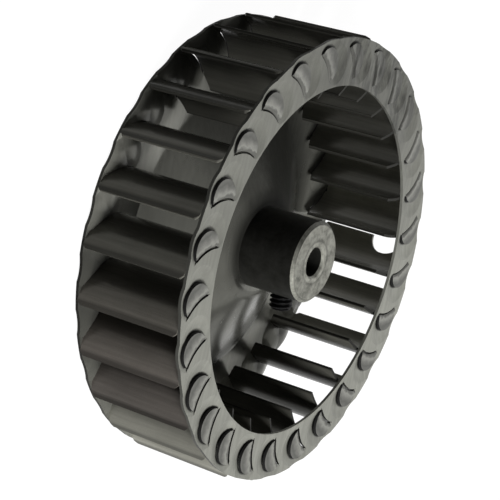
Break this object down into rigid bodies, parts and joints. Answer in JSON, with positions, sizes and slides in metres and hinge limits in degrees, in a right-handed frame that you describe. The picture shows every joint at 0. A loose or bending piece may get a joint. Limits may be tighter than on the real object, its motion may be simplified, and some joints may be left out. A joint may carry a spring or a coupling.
{
  "type": "blower wheel",
  "caption": "Sheet steel blower wheel: forward-curved blades folded through a flat inlet ring and a coned back plate, on a bored hub held to its shaft by a set screw.",
  "frame": {"origin": "on the wheel's axis, level with the bends of the back plate's tongues", "axes": "+Z along the wheel's axis towards the inlet, the first blade's arc centre about 23 degrees from +X"},
  "size_m": [0.1214, 0.1216, 0.0325],
  "materials": {
    "ring_steel": "dull rolled sheet with faint streaks",
    "plate_steel": "dull rolled sheet",
    "blade_steel": "dull rolled sheet, bright sheared edges",
    "hub_steel": "dark turned side, bright turned face",
    "screw_black": "black oxide"
  },
  "bodies": {
    "wheel": {"inlet_ring": "ring_steel", "back_plate": "plate_steel", "hub": "hub_steel", "blade_01": "blade_steel", "blade_02": "blade_steel", "blade_03": "blade_steel", "blade_04": "blade_steel", "blade_05": "blade_steel", "blade_06": "blade_steel", "blade_07": "blade_steel", "blade_08": "blade_steel", "blade_09": "blade_steel", "blade_10": "blade_steel", "blade_11": "blade_steel", "blade_12": "blade_steel", "blade_13": "blade_steel", "blade_14": "blade_steel", "blade_15": "blade_steel", "blade_16": "blade_steel", "blade_17": "blade_steel", "blade_18": "blade_steel", "blade_19": "blade_steel", "blade_20": "blade_steel", "blade_21": "blade_steel", "blade_22": "blade_steel", "blade_23": "blade_steel", "blade_24": "blade_steel", "blade_25": "blade_steel", "blade_26": "blade_steel"},
    "set_screw": {"set_screw": "screw_black"}
  },
  "joints": [
    {"name": "set_screw_travel", "type": "slide", "parent": "wheel", "child": "set_screw", "axis": [0.1702, -0.9854, 0], "range_m": [-0.0069, 0.007]}
  ]
}
